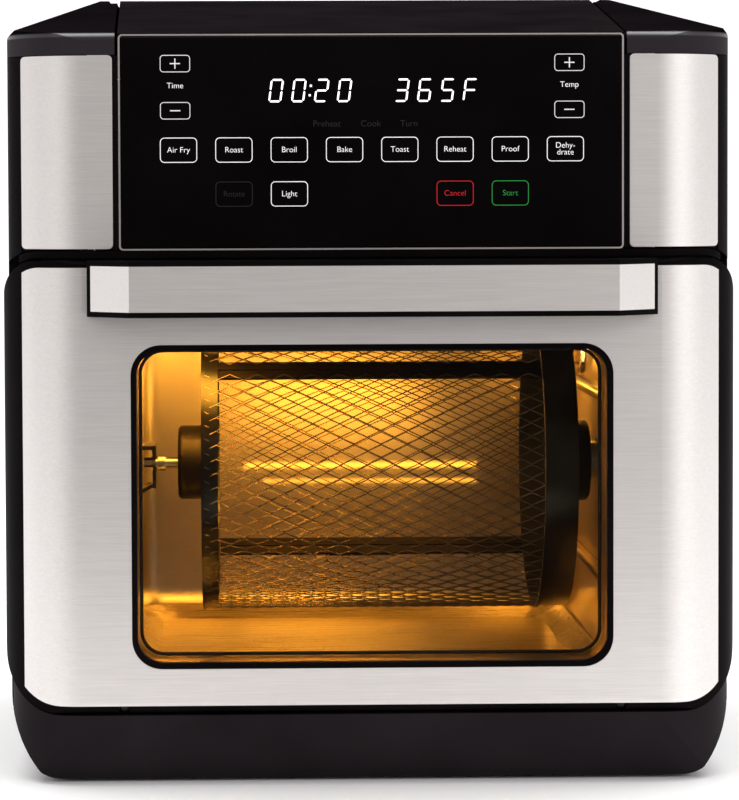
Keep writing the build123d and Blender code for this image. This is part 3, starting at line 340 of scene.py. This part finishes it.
FINISHES = {
    black_shell: ["side_housing_left", "side_housing_right"],
    base_black: ["base_shell"],
    roof_black: ["top_cover"],
    cap_black(): ["top_cap_left", "top_cap_right"],
    black_trim: ["waist_trim", "door_frame", "handle_core", "window_gasket"],
    inner_plastic: ["upper_front_frame", "rear_spacers", "cord_inlet", "display_module"],
    white_plastic: ["interlock_switch", "switch_plunger", "lamp_socket"],
    steel_front: ["upper_trim_left", "upper_trim_right", "door_outer_skin", "handle_skin"],
    steel_edge: ["panel_trim"],
    panel_glass: ["control_panel_glass"],
    window_glass: ["outer_glass", "inner_glass"],
    lamp_glass: ["lamp_cover"],
    liner_metal: ["cavity_liner", "shelf_rails", "door_inner_panel", "fan_guard", "fan_housing"],
    tray_metal: ["drip_tray"],
    plated_steel: ["drive_socket", "fan_shaft", "hinge_pins", "housing_screws",
                   "temperature_probe", "element_clips", "basket_spindles"],
    drum_steel: ["basket_end_left", "basket_end_right", "basket_latch", "basket_support"],
    hub_steel: ["basket_hubs"],
    rim_steel: ["basket_rims"],
    element_skin: ["heating_element"],
    powder_black: ["rear_cover", "cavity_front_frame", "hinge_brackets"],
    motor_paint: ["fan_motor", "rotisserie_motor"],
    fan_metal: ["convection_fan", "cooling_fan"],
    rubber: ["rubber_feet", "door_seal"],
    board_green: ["control_board", "power_board"],
}
FINISHES[glowing("bulb_glow", (1.0, 0.62, 0.22, 1), 30.0)] = ["lamp_bulb"]

for finish, names in FINISHES.items():
    for name in names:
        nodes[name].data.materials.clear()
        nodes[name].data.materials.append(finish)


# ---------------------------------------------------------------- piece helpers

def link_object(name, data, material, body):
    piece = bpy.data.objects.new(name, data)
    bpy.context.scene.collection.objects.link(piece)
    piece.data.materials.clear()
    piece.data.materials.append(material)
    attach(piece, body)
    return piece


def curve_mesh(name, paths, radius, cyclic=False, resolution=2):
    """A mesh of round wires along straight-run paths."""
    curve = bpy.data.curves.new(name, "CURVE")
    curve.dimensions = "3D"
    curve.bevel_depth = radius
    curve.bevel_resolution = resolution
    curve.use_fill_caps = True
    for path in paths:
        spline = curve.splines.new("POLY")
        spline.points.add(len(path) - 1)
        for point, place in zip(spline.points, path):
            point.co = (*place, 1)
        spline.use_cyclic_u = cyclic
    holder = bpy.data.objects.new(name + "_curve", curve)
    mesh = bpy.data.meshes.new_from_object(holder)
    bpy.data.objects.remove(holder)
    bpy.data.curves.remove(curve)
    return mesh


def drum_point(x, radius, angle):
    """A point on the drum's cylinder; angle 0 is the front, 90 degrees the top."""
    a = math.radians(angle)
    return (x, axis_y - radius * math.cos(a), axis_z + radius * math.sin(a))


# ---------------------------------------------------------------- expanded mesh of the drum

SPLIT = 43.0                 # degrees above the front, where the two half shells meet
SEAM = 2.6                   # degrees left bare at each side of a half shell, under the split bar
DRUM_RADIUS = 71.7 * mm
CELL_LONG = 12.9 * mm        # a diamond's length along the drum
STRAND = 0.34 * mm           # a strand's radius
LIFT = 0.3 * mm              # how far the crests stand in or out of the cylinder
SWING = 0.46                 # how far a crest swings, as a share of the rows' spacing
ROWS = 66
LEFT_TAIL, RIGHT_TAIL = 7.4 * mm, 0.2 * mm     # wire past the half shell, into the end rings


def mesh_half(name, node, first_angle):
    """Half of the drum's wall: zigzag strands that nearly meet at each crest, as in stretched sheet."""
    low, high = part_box(node)
    left, right = low.x - LEFT_TAIL, high.x + RIGHT_TAIL
    count = round((right - left) / (CELL_LONG / 2))
    step = (right - left) / count
    pitch = (180 - 2 * SEAM) / ROWS
    paths = []
    for row in range(ROWS):
        middle = first_angle + SEAM + pitch * (row + 0.5)
        path = []
        for i in range(count + 1):
            side = 1 if (i + row) % 2 else -1
            angle = middle + side * pitch * SWING
            path.append(drum_point(left + i * step, DRUM_RADIUS + LIFT * side, angle))
        paths.append(path)
    mesh = curve_mesh(name, paths, STRAND, resolution=1)
    piece = link_object(name, mesh, wire_steel, "basket")
    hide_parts(node)
    for polygon in mesh.polygons:
        polygon.use_smooth = True


mesh_half("wire_mesh_hatch", "basket_mesh_hatch", SPLIT)
mesh_half("wire_mesh_fixed", "basket_mesh_fixed", SPLIT + 180)


# ---------------------------------------------------------------- seal round the inner glass

def rounded_loop(width, height, radius, steps=8):
    """Points of a rounded rectangle in the XZ plane, centred on the origin."""
    points = []
    for cx, cz, start in ((width / 2 - radius, height / 2 - radius, 0),
                          (radius - width / 2, height / 2 - radius, 90),
                          (radius - width / 2, radius - height / 2, 180),
                          (width / 2 - radius, radius - height / 2, 270)):
        for i in range(steps + 1):
            a = math.radians(start + 90 * i / steps)
            points.append((cx + radius * math.cos(a), cz + radius * math.sin(a)))
    return points


def window_bead(name, node, margin, corner, radius, y, material):
    """A round bead on the door, following a node's outline with its width and height grown by margin."""
    low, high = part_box(node)
    centre_x, centre_z = (low.x + high.x) / 2, (low.z + high.z) / 2
    loop = rounded_loop(high.x - low.x + margin, high.z - low.z + margin, corner)
    path = [(centre_x + x, y, centre_z + z) for x, z in loop]
    mesh = curve_mesh(name, [path], radius, cyclic=True)
    link_object(name, mesh, material, "door")


SEAL_BEAD = 0.8 * mm         # the black bead that holds the inner pane in the window's tunnel
window_bead("inner_seal", "inner_glass", -1.9 * mm, 10.6 * mm, SEAL_BEAD,
            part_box("inner_glass")[0].y - SEAL_BEAD, rubber)


# ---------------------------------------------------------------- bright folded edges of the cladding

EDGE_BEAD = 0.3 * mm         # the fold's radius
STRIP_CORNER = 2.0 * mm
STRIP_FLAT = 11.0 * mm       # how far each fold runs along the strip's top and bottom
window_bead("window_edge", "window_gasket", 0.7 * mm, 13.8 * mm, EDGE_BEAD,
            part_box("door_outer_skin")[0].y + EDGE_BEAD, steel_edge)


def strip_edge(name, side):
    """The bright fold along a strip's inner side and round its two inner corners."""
    low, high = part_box(name)
    inner = high.x if side < 0 else low.x
    upper = [(inner + side * STRIP_FLAT, high.z), (inner + side * STRIP_CORNER, high.z)]
    for angle in (30, 60, 90):
        turn = math.radians(angle)
        upper.append((inner + side * STRIP_CORNER * (1 - math.sin(turn)),
                      high.z - STRIP_CORNER * (1 - math.cos(turn))))
    lower = [(x, low.z + high.z - z) for x, z in reversed(upper)]
    path = [(x, low.y + EDGE_BEAD, z) for x, z in upper + lower]
    mesh = curve_mesh(name + "_edge", [path], EDGE_BEAD)
    link_object(name + "_edge", mesh, steel_edge, "casing")


strip_edge("upper_trim_left", -1)
strip_edge("upper_trim_right", 1)


# ---------------------------------------------------------------- control panel marks

GLASS_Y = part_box("control_panel_glass")[0].y - 0.05 * mm     # the marks' back, just off the glass
PRINT = 0.06 * mm            # thickness of a mark
MARK = 0.32 * mm             # line width of a key's outline


def outline_ring(width, height, radius, line):
    """Vertices and faces of a flat rounded-rectangle outline in the XZ plane, centred."""
    outer = rounded_loop(width, height, radius)
    inner = rounded_loop(width - 2 * line, height - 2 * line, radius - line)
    count = len(outer)
    faces = [(i, (i + 1) % count, count + (i + 1) % count, count + i) for i in range(count)]
    return outer + inner, faces


def flat_piece(name, shapes, material):
    """One raised print layer made of flat (points, faces) shapes placed at (x, z)."""
    mesh = bpy.data.meshes.new(name)
    bm = bmesh.new()
    for (points, faces), (x, z) in shapes:
        made = [bm.verts.new((x + px, GLASS_Y, z + pz)) for px, pz in points]
        for face in faces:
            bm.faces.new([made[i] for i in face])
    bmesh.ops.recalc_face_normals(bm, faces=bm.faces)
    pushed = bmesh.ops.extrude_face_region(bm, geom=bm.faces[:])
    moved = [v for v in pushed["geom"] if isinstance(v, bmesh.types.BMVert)]
    bmesh.ops.translate(bm, verts=moved, vec=(0, -PRINT, 0))
    bmesh.ops.recalc_face_normals(bm, faces=bm.faces)
    bm.to_mesh(mesh)
    bm.free()
    link_object(name, mesh, material, "casing")


THINNER = 0.035 * mm         # taken off each side of a letter's strokes


def word(name, text, x, z, size, material):
    """A generic function word or sign in the plain built-in font, as a thin mesh on the glass."""
    curve = bpy.data.curves.new(name, "FONT")
    curve.body = text
    curve.size = size
    curve.align_x = "CENTER"
    curve.align_y = "CENTER"
    curve.space_line = 0.85
    curve.extrude = PRINT / 2
    curve.offset = -THINNER
    holder = bpy.data.objects.new(name + "_text", curve)
    mesh = bpy.data.meshes.new_from_object(holder)
    bpy.data.objects.remove(holder)
    bpy.data.curves.remove(curve)
    upright = Matrix.Translation((x, GLASS_Y - PRINT / 2, z)) @ Matrix.Rotation(math.pi / 2, 4, "X")
    mesh.transform(upright)
    link_object(name, mesh, material, "casing")


white_mark = glowing("white_mark", srgb(225, 225, 225), 0.85)
thin_mark = glowing("thin_mark", srgb(205, 205, 205), 0.7)
faint_mark = glowing("faint_mark", srgb(24, 20, 22), 0.2)
red_mark = glowing("red_mark", srgb(176, 18, 30), 0.7)
green_mark = glowing("green_mark", srgb(24, 128, 50), 0.75)
digit_mark = glowing("digit_mark", srgb(250, 250, 252), 1.4)

KEY_W, KEY_H, KEY_R = 16.6 * mm, 11.2 * mm, 2.0 * mm
SIGN_W, SIGN_H, SIGN_R = 13.5 * mm, 7.7 * mm, 1.6 * mm
TEXT = 3.6 * mm
ROW_1, ROW_2 = 285.8 * mm, 266.1 * mm      # heights of the two rows of keys
COLUMN = 24.74 * mm          # spacing of the upper row of keys
FIRST = -86.3 * mm           # the leftmost key
columns = [FIRST + COLUMN * i for i in range(8)]
upper_words = ["Air Fry", "Roast", "Broil", "Bake", "Toast", "Reheat", "Proof", "Dehy-\ndrate"]
lower_keys = {
    1: ("Rotate", faint_mark),
    2: ("Light", white_mark),
    5: ("Cancel", red_mark),
    6: ("Start", green_mark),
}

key = outline_ring(KEY_W, KEY_H, KEY_R, MARK)
flat_piece("key_frames", [(key, (x, ROW_1)) for x in columns], white_mark)
for x, text in zip(columns, upper_words):
    word("legend_" + text[:4].strip().lower(), text, x, ROW_1, TEXT, white_mark)
for i, (text, colour) in lower_keys.items():
    flat_piece("key_frame_" + text.lower(), [(key, (columns[i], ROW_2))], colour)
    word("legend_" + text.lower(), text, columns[i], ROW_2, TEXT, colour)


def bar(low_x, low_z, high_x, high_z):
    """A flat rectangle as vertices and one face."""
    return [(low_x, low_z), (high_x, low_z), (high_x, high_z), (low_x, high_z)], [(0, 1, 2, 3)]


ARM, LINE = 2.3 * mm, 0.25 * mm        # half the length and width of a plus or minus sign
LEFT_SIGN, RIGHT_SIGN = -87.7 * mm, 88.7 * mm
PLUS_Z, NAME_Z, MINUS_Z = 324.4 * mm, 314.5 * mm, 303.4 * mm
dash = bar(-ARM, -LINE, ARM, LINE)
post_high = bar(-LINE, LINE, LINE, ARM)
post_low = bar(-LINE, -ARM, LINE, -LINE)
sign_key = outline_ring(SIGN_W, SIGN_H, SIGN_R, MARK)
step_shapes = []
for x in (LEFT_SIGN, RIGHT_SIGN):
    step_shapes += [(shape, (x, PLUS_Z)) for shape in (sign_key, dash, post_high, post_low)]
    step_shapes += [(shape, (x, MINUS_Z)) for shape in (sign_key, dash)]
flat_piece("step_keys", step_shapes, thin_mark)
word("legend_time", "Time", LEFT_SIGN, NAME_Z, TEXT, white_mark)
word("legend_temp", "Temp", RIGHT_SIGN, NAME_Z, TEXT, white_mark)

STATUS_Z, STATUS_TEXT = 297.3 * mm, 4.0 * mm
for text, x in (("Preheat", -20.0), ("Cook", -0.3), ("Turn", 16.8)):
    word("status_" + text.lower(), text, x * mm, STATUS_Z, STATUS_TEXT, faint_mark)

SEGMENTS = {"0": "abcdef", "2": "abged", "3": "abgcd", "5": "afgcd", "6": "afgedc", "F": "afge"}
DIGIT_W, DIGIT_H, STROKE = 5.0 * mm, 9.6 * mm, 0.8 * mm
SEGMENT_GAP = 0.25 * mm
SLANT = 0.13                 # sideways lean for each unit of height


def segment_shapes(character, x, z):
    """The lit bars of one slanted seven-segment digit."""
    w, h, t, e = DIGIT_W / 2, DIGIT_H / 2, STROKE / 2, SEGMENT_GAP
    flat = {"a": h, "g": 0.0, "d": -h}
    tall = {"f": (-w, 0, h), "b": (w, 0, h), "e": (-w, -h, 0), "c": (w, -h, 0)}
    shapes = []
    for letter in SEGMENTS[character]:
        if letter in flat:
            z0 = flat[letter]
            points = [(-w + e, z0), (-w + t + e, z0 + t), (w - t - e, z0 + t), (w - e, z0),
                      (w - t - e, z0 - t), (-w + t + e, z0 - t)]
        else:
            cx, low, high = tall[letter]
            points = [(cx, low + e), (cx + t, low + t + e), (cx + t, high - t - e),
                      (cx, high - e), (cx - t, high - t - e), (cx - t, low + t + e)]
        points = [(px + SLANT * pz, pz) for px, pz in points]
        shapes.append(((points, [tuple(range(6))]), (x, z)))
    return shapes


DIGIT_Z = 312.2 * mm
DIGIT_STEP = 10.2 * mm
TIME_X, HEAT_X = -42.6 * mm, 13.7 * mm     # the first digit of each reading
DOT = 0.45 * mm                            # half a colon dot's width
DOT_RISE = 2.1 * mm
digits = []
for start, characters in ((TIME_X, "0020"), (HEAT_X, "365F")):
    for i, character in enumerate(characters):
        digits += segment_shapes(character, start + DIGIT_STEP * i, DIGIT_Z)
dot = bar(-DOT, -DOT, DOT, DOT)
colon_x = TIME_X + DIGIT_STEP * 1.5
digits += [(dot, (colon_x + side * 0.25 * mm, DIGIT_Z + side * DOT_RISE)) for side in (-1, 1)]
flat_piece("display_digits", digits, digit_mark)


# ---------------------------------------------------------------- light, floor, world

def area_light(name, place, target, size, power, colour=(1, 1, 1)):
    data = bpy.data.lights.new(name, "AREA")
    data.shape = "RECTANGLE"
    data.size, data.size_y = size
    data.energy = power
    data.color = colour
    light = bpy.data.objects.new(name, data)
    bpy.context.scene.collection.objects.link(light)
    light.location = place
    light.rotation_euler = (Vector(target) - Vector(place)).to_track_quat("-Z", "Y").to_euler()
    return light


WARM = (1.0, 0.455, 0.045)   # the colour of the lamp and the hot elements


def studio():
    area_light("softbox_left", (-0.75, -0.95, 0.35), (-0.1, -0.14, 0.2), (0.5, 0.8), 1.0)
    area_light("softbox_right", (0.75, -0.95, 0.35), (0.1, -0.14, 0.2), (0.5, 0.8), 2.0)
    area_light("softbox_top", (0, 0.35, 1.9), (0, 0.3, 0.0), (2.6, 1.6), 50)
    inside = [
        ("cavity_glow", (0.100, 0.072, 0.189), (-0.118, 0.0, 0.11), (0.024, 0.024), 0.3),
        ("roof_glow", (-0.055, -0.03, 0.2035), (-0.055, 0.13, 0.12), (0.11, 0.02), 0.8),
        ("front_glow", (-0.085, -0.07, 0.2035), (-0.07, -0.07, 0.05), (0.03, 0.05), 0.2),
        ("drum_glow", (-0.010, 0.0, 0.150), (-0.03, 0.13, 0.128), (0.10, 0.03), 0.15),
        ("rear_line_high", (0.005, 0.1258, 0.1205), (0.005, 0.2, 0.1205), (0.125, 0.003), 0.009),
        ("rear_line_low", (0.010, 0.1258, 0.1120), (0.010, 0.2, 0.1120), (0.115, 0.002), 0.004),
    ]
    for name, place, target, size, power in inside:
        light = area_light(name, place, target, size, power, WARM)
        light.visible_camera = False


def backdrop():
    """A pale floor that curves up behind the oven and ends short in front, out of the window's reflection."""
    half, front, rear, rise, bend = 3.0, -0.42, 2.4, 2.5, 0.8
    profile = [(front, 0.0), (rear - bend, 0.0)]
    profile += [(rear - bend + bend * math.sin(a), bend - bend * math.cos(a))
                for a in (math.radians(9 * i) for i in range(1, 11))]
    profile.append((rear, rise))
    mesh = bpy.data.meshes.new("floor")
    points = [(x, y, z) for y, z in profile for x in (-half, half)]
    faces = [(2 * i, 2 * i + 1, 2 * i + 3, 2 * i + 2) for i in range(len(profile) - 1)]
    mesh.from_pydata(points, [], faces)
    for polygon in mesh.polygons:
        polygon.use_smooth = True
    floor = bpy.data.objects.new("floor", mesh)
    bpy.context.scene.collection.objects.link(floor)
    s = Shader("floor_paper", roughness=0.8)
    s.link(s.ramp(s.noise(3, 3), [(0.3, 0.92), (0.7, 0.95)]), "Base Color")
    mesh.materials.append(s.material)


DARK_SIDE = (-0.12, -1.0, -0.5)
ROOM = (
    (0.30, (0.83, 0.815, 0.81)),
    (0.80, (0.43, 0.402, 0.388)),
    (1.00, (0.06, 0.055, 0.052)),
)                            # colours by how nearly a ray points at the dark side


def sky():
    """Pale behind and overhead, darker in front and below, which the flat steel and the panel reflect."""
    world = bpy.data.worlds.new("studio")
    bpy.context.scene.world = world
    world.use_nodes = True
    tree = world.node_tree
    background = tree.nodes["Background"]
    place = tree.nodes.new("ShaderNodeTexCoord")
    toward = tree.nodes.new("ShaderNodeVectorMath")
    toward.operation = "DOT_PRODUCT"
    toward.inputs[1].default_value = Vector(DARK_SIDE).normalized()
    ramp = tree.nodes.new("ShaderNodeValToRGB")
    tree.links.new(place.outputs["Generated"], toward.inputs[0])
    tree.links.new(toward.outputs["Value"], ramp.inputs["Fac"])
    stops = ramp.color_ramp.elements
    stops.new(0.8)
    for stop, (position, colour) in zip(stops, ROOM):
        stop.position = position
        stop.color = (*colour, 1)
    tree.links.new(ramp.outputs["Color"], background.inputs["Color"])
    background.inputs["Strength"].default_value = 1.0


studio()
backdrop()
sky()
bpy.context.scene.view_settings.view_transform = "Standard"
